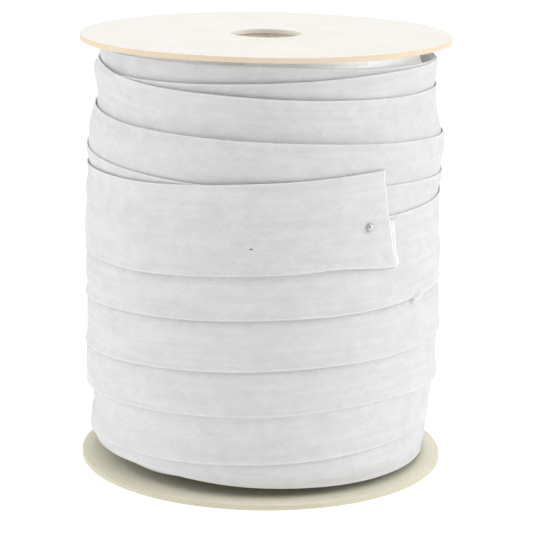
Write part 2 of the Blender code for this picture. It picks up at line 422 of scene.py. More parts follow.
def cotton_weave(name, colour, thread, width):
    """Plain-woven cotton cut on the bias and pressed: matt, with its threads at 45 degrees.

    The eye gets a faint cross-hatch of threads, thicker slubs along them, soft streaks the
    length of the tape from the folding press, and a cloudy unevenness from the iron. The
    threads are drawn a little coarser than real ones, so that they still show.
    """
    material, tree, shader = new_material(name, colour, 0.9)
    way = add_node(tree, "ShaderNodeUVMap", {"uv_map": "tape_way"})
    bias = add_node(
        tree, "ShaderNodeMapping", {"Rotation": (0.0, 0.0, math.radians(45.0))},
        {"Vector": way.outputs["UV"]},
    )
    # Warp and weft: each passes over the other in turn.
    drift = add_node(
        tree, "ShaderNodeTexNoise", {"Scale": 260.0, "Detail": 2.0}, {"Vector": bias.outputs[0]}
    )
    place = add_node(tree, "ShaderNodeSeparateXYZ", {}, {"Vector": bias.outputs[0]})
    sway = add_node(
        tree, "ShaderNodeMath", {"operation": "MULTIPLY", 1: 2.2}, {0: drift.outputs["Fac"]}
    )
    threads = []
    for axis in ("X", "Y"):
        along = add_node(
            tree, "ShaderNodeMath", {"operation": "MULTIPLY_ADD", 1: math.pi / thread},
            {0: place.outputs[axis], 2: sway.outputs[0]},
        )
        threads.append(
            add_node(tree, "ShaderNodeMath", {"operation": "SINE"}, {0: along.outputs[0]})
        )
    warp, weft = threads
    over = add_node(
        tree, "ShaderNodeMath", {"operation": "MULTIPLY"}, {0: warp.outputs[0], 1: weft.outputs[0]}
    )
    crowns = []
    for thread_wave, turn in ((warp, 0.45), (weft, -0.45)):
        size = add_node(
            tree, "ShaderNodeMath", {"operation": "ABSOLUTE"}, {0: thread_wave.outputs[0]}
        )
        on_top = add_node(
            tree, "ShaderNodeMath", {"operation": "MULTIPLY_ADD", 1: turn, 2: 0.55},
            {0: over.outputs[0]},
        )
        crowns.append(
            add_node(
                tree, "ShaderNodeMath", {"operation": "MULTIPLY"},
                {0: size.outputs[0], 1: on_top.outputs[0]},
            )
        )
    weave = add_node(
        tree, "ShaderNodeMath", {"operation": "MAXIMUM"},
        {0: crowns[0].outputs[0], 1: crowns[1].outputs[0]},
    )
    # Slubs run along the threads, and press streaks along the tape.
    drawn = []
    for source, stretch in (
        (bias, (110.0, 1400.0, 1.0)), (bias, (1400.0, 110.0, 1.0)), (way, (45.0, 620.0, 1.0))
    ):
        lengthened = add_node(
            tree, "ShaderNodeMapping", {"Scale": stretch}, {"Vector": source.outputs[0]}
        )
        drawn.append(
            add_node(
                tree, "ShaderNodeTexNoise", {"Scale": 1.0, "Detail": 3.0, "Roughness": 0.6},
                {"Vector": lengthened.outputs[0]},
            )
        )
    slubs = add_node(
        tree, "ShaderNodeMath", {"operation": "ADD"},
        {0: drawn[0].outputs["Fac"], 1: drawn[1].outputs["Fac"]},
    )
    cloud = add_node(
        tree, "ShaderNodeTexNoise", {"Scale": 190.0, "Detail": 5.0, "Roughness": 0.65},
        {"Vector": way.outputs["UV"]},
    )
    # Slubs, press streaks and cloudiness vary the tone at random. The weave term adds painted
    # shade, darker between the thread crowns.
    shade = None
    for source, weight, base in (
        (slubs.outputs[0], 0.12, 0.62),
        (drawn[2].outputs["Fac"], 0.22, 0.0),
        (cloud.outputs["Fac"], 0.24, 0.0),
        (weave.outputs[0], 0.06, 0.0),
    ):
        step = add_node(
            tree, "ShaderNodeMath", {"operation": "MULTIPLY_ADD", 1: weight, 2: base},
            {0: source, **({2: shade.outputs[0]} if shade else {})},
        )
        shade = step
    # Painted highlight: each folded edge gets a pale line, as if it caught the light.
    across = add_node(tree, "ShaderNodeSeparateXYZ", {}, {"Vector": way.outputs["UV"]})
    from_middle = add_node(
        tree, "ShaderNodeMath", {"operation": "SUBTRACT", 1: width / 2.0}, {0: across.outputs["Y"]}
    )
    outwards = add_node(
        tree, "ShaderNodeMath", {"operation": "ABSOLUTE"}, {0: from_middle.outputs[0]}
    )
    folded = {"From Min": width / 2.0 - 0.7 * MM, "From Max": width / 2.0}
    fold = add_node(
        tree, "ShaderNodeMapRange", {**folded, "To Min": 1.0, "To Max": 1.13},
        {"Value": outwards.outputs[0]},
    )
    lit = add_node(
        tree, "ShaderNodeMath", {"operation": "MULTIPLY"},
        {0: shade.outputs[0], 1: fold.outputs["Result"]},
    )
    tone = add_node(
        tree, "ShaderNodeVectorMath", {"operation": "SCALE", 0: colour}, {"Scale": lit.outputs[0]}
    )
    tree.links.new(tone.outputs[0], shader.inputs["Base Color"])
    relief = add_node(
        tree, "ShaderNodeMath", {"operation": "MULTIPLY_ADD", 1: 0.8},
        {0: slubs.outputs[0], 2: weave.outputs[0]},
    )
    bump = add_node(
        tree, "ShaderNodeBump", {"Strength": 0.5, "Distance": 0.00007},
        {"Height": relief.outputs[0]},
    )
    tree.links.new(bump.outputs["Normal"], shader.inputs["Normal"])
    shader.inputs["Sheen Weight"].default_value = 0.2
    shader.inputs["Sheen Roughness"].default_value = 0.5
    shader.inputs["Specular IOR Level"].default_value = 0.2
    return material


def raw_cotton_edge(name, colour):
    """Cotton where the shears cut it, with loose fibre ends: matt and furry, in the colour it is
    given.
    """
    material, tree, shader = new_material(name, colour, 0.95)
    place = add_node(tree, "ShaderNodeTexCoord")
    tufts = add_node(
        tree, "ShaderNodeTexNoise", {"Scale": 4200.0, "Detail": 3.0, "Roughness": 0.7},
        {"Vector": place.outputs["Object"]},
    )
    tone = add_node(
        tree, "ShaderNodeMix",
        {"data_type": "RGBA", 6: (*(c * 0.9 for c in colour), 1.0), 7: (*colour, 1.0)},
        {0: tufts.outputs["Fac"]},
    )
    tree.links.new(tone.outputs[2], shader.inputs["Base Color"])
    bump = add_node(
        tree, "ShaderNodeBump", {"Strength": 0.6, "Distance": 0.00008},
        {"Height": tufts.outputs["Fac"]},
    )
    tree.links.new(bump.outputs["Normal"], shader.inputs["Normal"])
    shader.inputs["Sheen Weight"].default_value = 0.6
    shader.inputs["Specular IOR Level"].default_value = 0.1
    return material


def fibre_board(name, colour, fleck, roughness, stretch, share, depth):
    """Paper board: pulp with stray darker fibres, drawn out along the stretch's short side.

    Calendered faces look smooth and pale with a few flecks. A die-cut edge shows its plies
    as fine level lines, and wound kraft paper looks brown, matt and mottled.
    """
    material, tree, shader = new_material(name, colour, roughness)
    place = add_node(tree, "ShaderNodeTexCoord")
    way = add_node(
        tree, "ShaderNodeMapping", {"Scale": stretch, "Rotation": (0.0, 0.0, 0.5)},
        {"Vector": place.outputs["Object"]},
    )
    fibres = add_node(
        tree, "ShaderNodeTexNoise", {"Scale": 1.0, "Detail": 3.0, "Roughness": 0.65},
        {"Vector": way.outputs["Vector"]},
    )
    cloud = add_node(
        tree, "ShaderNodeTexNoise", {"Scale": 110.0, "Detail": 4.0},
        {"Vector": place.outputs["Object"]},
    )
    stray = add_node(
        tree, "ShaderNodeMapRange", {"From Min": 0.5, "From Max": 0.75, "To Max": share},
        {"Value": fibres.outputs["Fac"]},
    )
    flecked = add_node(
        tree, "ShaderNodeMix", {"data_type": "RGBA", 6: (*colour, 1.0), 7: (*fleck, 1.0)},
        {0: stray.outputs["Result"]},
    )
    clouded = add_node(
        tree, "ShaderNodeMapRange", {"To Min": 0.95, "To Max": 1.04},
        {"Value": cloud.outputs["Fac"]},
    )
    tone = add_node(
        tree, "ShaderNodeVectorMath", {"operation": "SCALE"},
        {0: flecked.outputs[2], "Scale": clouded.outputs["Result"]},
    )
    tree.links.new(tone.outputs[0], shader.inputs["Base Color"])
    bump = add_node(
        tree, "ShaderNodeBump", {"Strength": 0.45, "Distance": depth},
        {"Height": fibres.outputs["Fac"]},
    )
    tree.links.new(bump.outputs["Normal"], shader.inputs["Normal"])
    return material


def nickel_plate(name, colour, roughness):
    """Drawn steel wire: its plate gives small bright highlights, in the colour it is given."""
    material, tree, shader = new_material(name, colour, roughness, 1.0)
    place = add_node(tree, "ShaderNodeTexCoord")
    wear = add_node(
        tree, "ShaderNodeTexNoise", {"Scale": 3000.0, "Detail": 2.0},
        {"Vector": place.outputs["Object"]},
    )
    bump = add_node(
        tree, "ShaderNodeBump", {"Strength": 0.08, "Distance": 0.00002},
        {"Height": wear.outputs["Fac"]},
    )
    tree.links.new(bump.outputs["Normal"], shader.inputs["Normal"])
    return material


def lit_acrylic(name, colour, glow):
    """A white opal acrylic light table: satin, even and shadowless."""
    material, tree, shader = new_material(name, colour, 0.6)
    place = add_node(tree, "ShaderNodeTexCoord")
    grain = add_node(
        tree, "ShaderNodeTexNoise", {"Scale": 14.0}, {"Vector": place.outputs["Object"]}
    )
    bump = add_node(
        tree, "ShaderNodeBump", {"Strength": 0.02, "Distance": 0.001},
        {"Height": grain.outputs["Fac"]},
    )
    tree.links.new(bump.outputs["Normal"], shader.inputs["Normal"])
    shader.inputs["Emission Color"].default_value = (1.0, 1.0, 1.0, 1.0)
    shader.inputs["Emission Strength"].default_value = glow
    return material


# ---------------------------------------------------------------------------------------
# Settings a user would change.


def length_setting(name, description, value, precision=4):
    return FloatProperty(
        name=name, description=description, default=value, precision=precision, unit="LENGTH"
    )


def strength_setting(name, description, value):
    return FloatProperty(name=name, description=description, default=value, min=0.0)


def colour_setting(name, description, code):
    return FloatVectorProperty(
        name=name, description=description, default=hex_colour(code), subtype="COLOR"
    )


class TapeRollSpool(bpy.types.PropertyGroup):
    disc_radius: length_setting("Disc radius", "Radius of both card discs", DISC_HIGH.x)
    bore_radius: length_setting("Bore radius", "Radius of the hole in each disc", 10.0 * MM)
    edge_softness: length_setting(
        "Edge softness", "How far the die-cut edges are rounded", 0.22 * MM
    )
    tube_inner_radius: length_setting(
        "Tube inner radius", "Radius inside the paper tube", 10.3 * MM
    )
    # The two discs are one card in two tones: the top disc's colours are painted paler as if lit
    # from above, the bottom disc's darker as if in the roll's shade.
    card_colour: colour_setting("Card", "Colour of the card's pressed faces", "#F6F4EE")
    bottom_card_shaded_colour: colour_setting(
        "Bottom card", "Colour of the bottom disc's pressed faces", "#EDE9D5"
    )
    top_cut_colour: colour_setting(
        "Top cut edge", "Colour of the top disc's die-cut edge", "#E7D5BA"
    )
    bottom_cut_shaded_colour: colour_setting(
        "Bottom cut edge", "Colour of the bottom disc's die-cut edge", "#D2CDB6"
    )
    # The tube is set pale: partly the paper's own tone, partly painted light for the lit inside of
    # the bore.
    tube_lightened_colour: colour_setting("Paper tube", "Colour of the wound paper tube", "#F1EBD6")


class TapeRollCloth(bpy.types.PropertyGroup):
    width: length_setting("Tape width", "Width of the folded tape", 25.0 * MM)
    thickness: length_setting("Tape thickness", "Thickness of the folded tape", 0.5 * MM)
    thread: length_setting(
        "Thread spacing", "Distance between threads in the weave", 0.42 * MM, precision=5
    )
    end_steps: IntProperty(
        name="Loose end steps", description="Sections along the loose end", default=390, min=60
    )
    colour: colour_setting("Cotton", "Colour of the white cotton", "#D6D6D7")
    # The inner turns are painted lighter than the outer cloth, to offset the shade under the top
    # disc.
    inner_lightened_colour: colour_setting(
        "Inner cotton", "Colour of the inner turns' cotton, painted lighter against the top disc's shade", "#F0F0F0"
    )


class TapeRollPin(bpy.types.PropertyGroup):
    length: length_setting("Pin length", "Length from point to head", 34.6 * MM)
    radius: length_setting("Pin radius", "Radius of the pin's shank", 0.3 * MM, precision=5)
    head_radius: length_setting("Head radius", "Radius of the pin's head", 1.25 * MM, precision=5)
    colour: colour_setting("Nickel", "Colour of the nickel plate", "#D0D0D2")
    # The point's dark colour is painted shade, standing for the pin hole it comes out of.
    point_shade_colour: colour_setting("Point, painted dark", "Colour of the point, painted dark as the shade of its pin hole", "#48484A")


class TapeRollStage(bpy.types.PropertyGroup):
    camera_distance: length_setting(
        "Camera distance", "Level distance from the roll's axis to the camera", 0.591
    )
    camera_height: length_setting("Camera height", "Height of the camera above the table", 0.1964)
    camera_pitch: FloatProperty(
        name="Camera pitch",
        description="How far the camera looks down",
        default=math.radians(13.39),
        subtype="ANGLE",
    )
    camera_roll: FloatProperty(
        name="Camera roll",
        description="How far the camera leans over",
        default=math.radians(0.79),
        subtype="ANGLE",
    )
    lens: FloatProperty(
        name="Lens",
        description="Focal length of the camera",
        default=141.6,
        subtype="DISTANCE_CAMERA",
    )
    sky: strength_setting("Room light", "Strength of the even white light all round", 0.3)
    overhead: strength_setting("Overhead light", "Strength of the wide overhead light", 0.92)
    left: strength_setting("Left light", "Strength of the wide light on the left", 1.45)
    right: strength_setting("Right light", "Strength of the wide light on the right", 1.72)
    glow: strength_setting("Table glow", "How brightly the white table is lit from beneath", 0.95)
    front: strength_setting("Front light", "Strength of the high light over the camera", 0.35)
    low_front: strength_setting(
        "Low front light", "Strength of the low light beside the camera", 0.25
    )


# ---------------------------------------------------------------------------------------
# Spool.


def select_faces(mesh, test):
    """In edit mode, select just the faces that pass a test, and say how many did."""
    shape = bmesh.from_edit_mesh(mesh)
    shape.select_mode = {"FACE"}
    chosen = 0
    for face in shape.faces:
        face.select = bool(test(face))
        chosen += face.select
    shape.select_flush_mode()
    bmesh.update_edit_mesh(mesh)
    return chosen


def select_edges(mesh, test):
    shape = bmesh.from_edit_mesh(mesh)
    shape.select_mode = {"EDGE"}
    for edge in shape.edges:
        edge.select = bool(test(edge))
    shape.select_flush_mode()
    bmesh.update_edit_mesh(mesh)


def edge_at_radius(edge, radius):
    return all(abs(v.co.xy.length - radius) < 0.05 * MM for v in edge.verts)


def level_edge(edge):
    return abs(edge.verts[0].co.z - edge.verts[1].co.z) < 0.01 * MM


def card_disc(name, low, high, settings):
    """One die-cut disc: a cylinder, inset and bridged through to make its bore."""
    deselect()
    bpy.ops.mesh.primitive_cylinder_add(
        vertices=256, radius=settings.disc_radius, depth=high - low, end_fill_type="NGON",
        location=(0.0, 0.0, (low + high) / 2.0),
    )
    disc = bpy.context.object
    disc.name = name
    apply_place(disc)
    bpy.ops.object.mode_set(mode="EDIT")
    bpy.ops.mesh.select_all(action="DESELECT")
    rings = (0.75 * MM, 9.0 * MM, 11.0 * MM, 11.0 * MM)
    spent = 0.0
    for ring in rings:
        select_faces(disc.data, lambda f: len(f.verts) > 4)
        bpy.ops.mesh.inset(thickness=ring, use_even_offset=False)
        spent += ring
    select_faces(disc.data, lambda f: len(f.verts) > 4)
    bpy.ops.mesh.inset(
        thickness=settings.disc_radius - settings.bore_radius - spent, use_even_offset=False
    )
    select_faces(disc.data, lambda f: len(f.verts) > 4)
    bpy.ops.mesh.bridge_edge_loops()
    for radius in (settings.disc_radius, settings.bore_radius):
        select_edges(disc.data, lambda e, r=radius: edge_at_radius(e, r) and level_edge(e))
        bpy.ops.mesh.bevel(offset=settings.edge_softness, segments=3, profile=0.6)
    bpy.ops.object.mode_set(mode="OBJECT")
    return disc


def warp_disc(disc, radius, middle, amount, seed):
    """Die-cut card is never quite flat or quite even at its rim."""
    for vertex in disc.data.vertices:
        out = vertex.co.xy.length
        turn = math.atan2(vertex.co.y, vertex.co.x)
        place = Vector((math.cos(turn) * 1.4, math.sin(turn) * 1.4, seed))
        sag = amount * (out / radius) ** 2 * noise.noise(place)
        vertex.co.z += sag
        fuzz = Vector((math.cos(turn) * 26.0, math.sin(turn) * 26.0, vertex.co.z * 900.0 + seed))
        if abs(vertex.co.z - sag - middle) < 0.7 * MM and out > 40.0 * MM:
            vertex.co.xy *= 1.0 - 0.0006 * (0.5 + 0.5 * noise.noise(fuzz))


def finish_disc(disc, materials, node):
    """Round pieces are smooth, with the outer cut edge in its own material."""
    face_material, edge_material = materials
    disc.data.materials.append(face_material)
    disc.data.materials.append(edge_material)
    for polygon in disc.data.polygons:
        if abs(polygon.normal.z) < 0.8 and polygon.center.xy.length > 40.0 * MM:
            polygon.material_index = 1
    deselect()
    disc.select_set(True)
    bpy.context.view_layer.objects.active = disc
    bpy.ops.object.shade_smooth_by_angle(angle=math.radians(50.0))
    finish_piece(disc, None, "card", node)


class TAPEROLL_OT_card_discs(bpy.types.Operator):
    """Make the two die-cut card discs that close the spool"""

    bl_idname = "tape_roll.card_discs"
    bl_label = "Card Discs"

    def execute(self, context):
        settings = context.scene.tape_roll_spool
        # The bottom disc takes the darker card colours, which are painted shade.
        places = (
            # which, lowest, highest, warp, seed, face and cut edge colours
            ("bottom", DISC_LOW.z, DISC_HIGH.z, 0.0, 3.1)
            + (settings.bottom_card_shaded_colour, settings.bottom_cut_shaded_colour),
            ("top", TOP_DISC_LOW.z, TOP_DISC_HIGH.z, 0.25 * MM, 8.2)
            + (settings.card_colour, settings.top_cut_colour),
        )
        for which, low, high, warp, seed, card_colour, cut_colour in places:
            face = fibre_board(
                "Manila chipboard, calendered " + which, card_colour, hex_colour("#B9A57C"),
                0.55, (2400.0, 500.0, 900.0), 0.2, 0.00003,
            )
            edge = fibre_board(
                "Manila chipboard, die-cut " + which, cut_colour, hex_colour("#C9AE86"),
                0.9, (60.0, 60.0, 5200.0), 0.45, 0.0001,
            )
            disc = card_disc("card_disc_" + which, low, high, settings)
            warp_disc(disc, settings.disc_radius, (low + high) / 2.0, warp, seed)
            finish_disc(disc, (face, edge), "flange_" + which)
        return {"FINISHED"}


class TAPEROLL_OT_paper_tube(bpy.types.Operator):
    """Make the spiral-wound paper tube between the discs"""

    bl_idname = "tape_roll.paper_tube"
    bl_label = "Paper Tube"

    def execute(self, context):
        settings = context.scene.tape_roll_spool
        deselect()
        low, high = DISC_HIGH.z + TUBE_GAP, TOP_DISC_LOW.z - TUBE_GAP
        outer = TUBE_HIGH.x
        bpy.ops.mesh.primitive_cylinder_add(
            vertices=96, radius=outer, depth=high - low, end_fill_type="NGON",
            location=(0.0, 0.0, (low + high) / 2.0),
        )
        tube = bpy.context.object
        tube.name = "paper_tube"
        apply_place(tube)
        bpy.ops.object.mode_set(mode="EDIT")
        select_faces(tube.data, lambda f: len(f.verts) > 4)
        bpy.ops.mesh.inset(thickness=outer - settings.tube_inner_radius, use_even_offset=False)
        select_faces(tube.data, lambda f: len(f.verts) > 4)
        bpy.ops.mesh.bridge_edge_loops(number_cuts=96)
        bpy.ops.object.mode_set(mode="OBJECT")
        strip = 42.0 * MM
        for vertex in tube.data.vertices:
            out = vertex.co.xy.length
            if out < settings.tube_inner_radius + 0.1 * MM:
                turn = math.atan2(vertex.co.y, vertex.co.x) / (2.0 * math.pi)
                along = (vertex.co.z / strip + turn) % 1.0
                vertex.co.xy *= 1.0 + 0.18 * MM * along / out
        bpy.ops.object.shade_smooth_by_angle(angle=math.radians(40.0))
        # Its pale colour is partly painted light for the inside of the bore.
        paper = fibre_board(
            "Kraft paper, spiral-wound", settings.tube_lightened_colour, hex_colour("#9C8358"), 0.85,
            (900.0, 900.0, 2600.0), 0.5, 0.00006,
        )
        finish_piece(tube, paper, "tube_paper", "core_tube")
        return {"FINISHED"}


# ---------------------------------------------------------------------------------------
# Cloth.

FOLD_ANGLES = (-90.0, -45.0, 0.0, 45.0, 90.0)
HALF_PLACES = (0.7, 1.3, 2.0, 3.0, 4.2, 5.5, 7.0, 8.4, 9.8, 11.2)
FACE_PLACES = (*HALF_PLACES, 12.5, *(25.0 - place for place in HALF_PLACES[::-1]))
BACK_PLACES = FACE_PLACES[-3:1:-2]


def tape_outline(width, thickness):
    """The folded tape's outline: rows of (place across from the bottom edge, side)."""
    half = thickness / 2.0
    rows = []
    for angle in FOLD_ANGLES:
        turn = math.radians(angle)
        rows.append((half * (1.0 - math.cos(turn)), math.sin(turn)))
    rows += [(place, 1.0) for place in FACE_PLACES]
    for angle in reversed(FOLD_ANGLES):
        turn = math.radians(angle)
        rows.append((width - half * (1.0 - math.cos(turn)), math.sin(turn)))
    rows += [(place, -1.0) for place in BACK_PLACES]
    return np.array(rows)


def chain_sections(layer, chain):
    """Where each step of a layer's unrolled length falls: angles and turn numbers."""
    if layer == "falling":
        number = np.floor((chain + 180.0) / 360.0).astype(int)
        return chain - 360.0 * number, number
    number = np.ceil((chain - 180.0) / 360.0).astype(int)
    return 360.0 * number - chain, number


def ribbon_points(laid, layer, chain, width, thickness):
    """Section points and their way along and across the tape, for a wound ribbon."""
    outline = tape_outline(width, thickness)
    angles, numbers = chain_sections(layer, chain)
    radii, heights, ways = [], [], []
    for step, (angle, number) in enumerate(zip(angles, numbers)):
        turn = laid[layer, number]
        column = int(round((angle + 180.0) / COLUMN_ANGLE)) % COLUMNS
        bottom = turn.edge[column] - (width if layer == "falling" else 0.0)
        depth = max(turn.thickness[column], 0.04)
        height = bottom + outline[:, 0]
        inner = turn.radius_at(np.full(len(height), angle), height)
        radii.append(inner + depth / 2.0 * (1.0 + outline[:, 1]))
        heights.append(height)
        along = math.radians(chain[step]) * WEAVE_RADIUS
        back = np.where(outline[:, 1] < -0.9, WEAVE_APART, 0.0)
        ways.append(np.stack((np.full(len(height), along), outline[:, 0] * MM + back), axis=-1))
    # One turn runs on into the next at the back, so they are smoothed together there.
    radii, heights = np.array(radii), np.array(heights)
    joining = np.exp(-(((180.0 - np.abs(angles)) / 9.0) ** 2))[:, None]
    radii = radii + (blur_round(radii, 40) - radii) * joining
    heights = heights + (blur_round(heights, 12) - heights) * joining
    return place_on_roll(angles[:, None], radii, heights), np.array(ways)


def inner_body_mesh(name):
    """The older turns as one ring, open round the tube, with uneven wound ends."""
    tube_radius = TUBE_HIGH.x / MM + 0.35
    steps = 160
    heights = np.concatenate(
        ([5.2, 5.6], np.arange(7.0, 119.5, 2.0), [119.5, 119.8, 120.1, 120.4, 120.8, 121.2])
    )
    rings = np.linspace(tube_radius, 45.0, 26)
    angles = -180.0 + 360.0 * np.arange(steps + 1) / steps
    points, ways = [], []
    for angle in angles:
        column = np.full(len(heights), angle)
        radius = inner_radius(column, heights)
        ridge = 0.35 * np.array([noise.noise(Vector((r * 1.7, 0.3, 4.0))) for r in rings])
        sag = 0.5 * math.exp(-(((angle + 40.0) / 10.0) ** 2)) * ease(rings, 40.0, 45.0)
        low = np.stack((rings, 5.6 + ridge - sag), axis=-1)
        side = np.stack((radius, heights), axis=-1)
        side[0, 1] -= 0.5 * math.exp(-(((angle + 40.0) / 10.0) ** 2))
        high = np.stack((rings[::-1] - 1.4, 121.0 + ridge[::-1]), axis=-1)
        high[-1, 0] = tube_radius
        outline = np.concatenate((low, side, high))
        points.append(place_on_roll(np.full(len(outline), angle), outline[:, 0], outline[:, 1]))
        along = np.full(len(outline), math.radians(angle) * 46.0 * MM)
        across = np.concatenate((rings, 60.0 + heights, 200.0 + rings[::-1])) * MM
        ways.append(np.stack((along, across), axis=-1))
    return mesh_from_grid(name, np.array(points), np.array(ways))


def merged(mesh, distance):
    shape = bmesh.new()
    shape.from_mesh(mesh)
    bmesh.ops.remove_doubles(shape, verts=shape.verts, dist=distance)
    bmesh.ops.recalc_face_normals(shape, faces=shape.faces)
    shape.to_mesh(mesh)
    shape.free()


class TAPEROLL_OT_wound_tape(bpy.types.Operator):
    """Wind the tape on: the inner turns, the falling layer and the climbing layer"""

    bl_idname = "tape_roll.wound_tape"
    bl_label = "Wound Tape"

    def execute(self, context):
        settings = context.scene.tape_roll_cloth
        width, thickness = settings.width / MM, settings.thickness / MM
        laid = lay_turns(width, thickness)
        weave = settings.thread, settings.width
        cotton = cotton_weave(
            "White cotton lawn, bias-cut and pressed", settings.colour, *weave
        )
        # The inner turns' lighter cotton is painted light against the top disc's shade.
        inner_cotton_lightened = cotton_weave(
            "White cotton lawn, inner turns, painted lighter", settings.inner_lightened_colour, *weave
        )
        body = inner_body_mesh("inner_turns")
        merged(body, 0.01 * MM)
        # The inner turns' wound ends get a dark grey: painted shade for the deep gap under the
        # roll.
        ends = raw_cotton_edge("White cotton, stacked folds, painted shade", hex_colour("#83817D"))
        add_piece("inner_turns", body, inner_cotton_lightened, "tape")
        body.materials.append(ends)
        # The end faces low down and near the tube take this painted shade.
        for polygon in body.polygons:
            inside = polygon.center.z < 6.5 * MM or polygon.center.xy.length < 41.0 * MM
            if abs(polygon.normal.z) > 0.7 and inside:
                polygon.material_index = 1
        plans = (
            ("falling_turns", "falling", FALLING_CHAIN, COLUMN_ANGLE, ()),
            ("climbing_turns", "climbing", CLIMBING_CHAIN, -COLUMN_ANGLE, ("tape_winding",)),
        )
        for name, layer, (first, last), step, nodes in plans:
            chain = np.arange(first, last + 0.1 * step, step)
            points, ways = ribbon_points(laid, layer, chain, width, thickness)
            end = [range(points.shape[1])]
            mesh = mesh_from_grid(name, points, ways, (end, end))
            face_outwards(mesh)
            add_piece(name, mesh, cotton, "tape", *nodes)
        # The cut rim is paler than the cloth: partly its loose fibres, partly a painted highlight
        # where the rim catches the side light.
        fibre_and_highlight_rim = raw_cotton_edge("White cotton, shear-cut edge, painted highlight", hex_colour("#F3F3F2"))
        make_loose_end(laid, settings, cotton, fibre_and_highlight_rim)
        return {"FINISHED"}


def end_outline(width, thickness):
    """The loose end's open folds: rows of (place across, side, how far its cut sticks out).

    The face runs from fold to fold, and each folded-under layer comes back to near the
    middle behind it. The lower one is cut slightly longer than the face.
    """
    ply = thickness * 0.42
    half = thickness / 2.0
    near, far = half - ply, half
    middle_gap = 0.5
    rows = [(place, 1.0, 0.0) for place in FACE_PLACES]
    for angle in FOLD_ANGLES[::-1]:
        turn = math.radians(angle)
        rows.append((width - far * (1.0 - math.cos(turn)), math.sin(turn), 0.0))
    upper = np.linspace(width - 0.6, width / 2.0 + middle_gap, 15)
    rows += [(place, -1.0, 0.0) for place in upper]
    rows += [(place, -near / half, 0.0) for place in upper[::-1]]
    rows.append((width - far, 0.0, 0.0))
    rows += [(place, near / half, 0.0) for place in np.linspace(width - 0.7, 0.7, 31)]
    rows.append((far, 0.0, 0.0))
    lower = np.linspace(0.6, width / 2.0 - middle_gap, 15)
    rows += [(place, -near / half, 1.0) for place in lower]
    rows += [(place, -1.0, 1.0) for place in lower[::-1]]
    for angle in FOLD_ANGLES:
        turn = math.radians(angle)
        rows.append((far * (1.0 - math.cos(turn)), math.sin(turn), 0.0))
    return np.array(rows)


# Where the loose end was cut, at its top and bottom, and how far its lower folded layer
# pokes out beyond. All are angles round the roll.
CUT_TOP_ANGLE = 39.0
CUT_BOTTOM_ANGLE = 45.4
UNDER_LAYER_ANGLE = 2.2
# The cut's furry rim: how far back from the cut each ring is, in degrees, and how far it
# stands out from the cloth, in mm.
RIM_RINGS = ((0.5, 0.0), (0.38, 0.04), (0.25, 0.06), (0.1, 0.03), (0.0, -0.06))


def section_faces(section):
    """Triangles that close a section which doubles back on itself, kept inside its shape."""
    flat = [Vector((math.hypot(x, y), z, 0.0)) for x, y, z in section]
    return geometry.tessellate_polygon([flat])


def make_loose_end(laid, settings, cotton, fibre_and_highlight_rim):
    """The loose end, from the back on the left to its slanting cut, right of the front."""
    width, thickness = settings.width / MM, settings.thickness / MM
    outline = end_outline(width, thickness)
    turn = laid["climbing", 0]
    start = LOOSE_START_ANGLE
    up = outline[:, 0] / width
    cut = CUT_BOTTOM_ANGLE + (CUT_TOP_ANGLE - CUT_BOTTOM_ANGLE) * up**0.85
    cut = cut + UNDER_LAYER_ANGLE * outline[:, 2] * (0.5 + up)
    last = cut - RIM_RINGS[0][0]
    shares = np.linspace(0.0, 1.0, settings.end_steps)
    shares = 1.0 - (1.0 - shares) ** 1.25
    # It starts tucked just inside the turn it runs on from, so that the joint doesn't show.
    rows = [(np.full(len(outline), start - 0.4), -0.01)]
    rows += [(start + share * (last - start), 0.0) for share in shares]
    rows += [(cut - back, out) for back, out in RIM_RINGS[1:]]
    points, ways = [], []
    for angle, out in rows:
        edge, _ = edge_at(CLIMBING, -angle)
        droop = 2.4 * ease(angle, 20.0, 45.0) * (1.0 - up)
        height = edge + outline[:, 0] - droop
        inner = turn.radius_at(np.minimum(angle, 45.4), height)
        lift = 0.1 * ease(angle - cut, -12.0, 0.0) * (0.4 + 0.6 * (1.0 - up))
        lift = lift + 0.38 * ease(angle, -60.0, -20.0) * np.exp((outline[:, 0] - width) / 2.5)
        rim = out * np.where(outline[:, 1] > 0.0, 1.0, 0.3)
        radius = inner + lift + thickness / 2.0 * (1.0 + outline[:, 1]) + rim
        points.append(place_on_roll(angle, radius, height))
        along = -np.radians(angle) * WEAVE_RADIUS
        back = np.where(outline[:, 1] < 0.6, WEAVE_APART, 0.0)
        ways.append(np.stack((along, outline[:, 0] * MM + back), axis=-1))
    caps = (section_faces(points[0]), section_faces(points[-1]))
    mesh = mesh_from_grid("loose_end", np.array(points), np.array(ways), caps)
    face_outwards(mesh)
    piece = add_piece("loose_end", mesh, cotton, "tape", "tape_end")
    mesh.materials.append(fibre_and_highlight_rim)
    # The rim rings take the paler cut-edge material, with its painted highlight.
    rim_starts = settings.end_steps * len(outline)
    for polygon in mesh.polygons:
        if min(polygon.vertices) >= rim_starts:
            polygon.material_index = 1
    return piece


# ---------------------------------------------------------------------------------------
# Pin and thread tuft.


# How long the pin's ground point is, and how flat its head is next to a ball.
GROUND_POINT = 3.0 * MM
HEAD_FLATNESS = 0.8


def pin_ends():
    """The pin's point and head on the roll, and the turn that lays it between them."""
    angle, height, radius = PIN_POINT_AT
    point = Vector(place_on_roll(angle, radius, height))
    angle, height, radius = PIN_HEAD_AT
    head = Vector(place_on_roll(angle, radius, height))
    return point, (head - point).to_track_quat("Z", "Y")


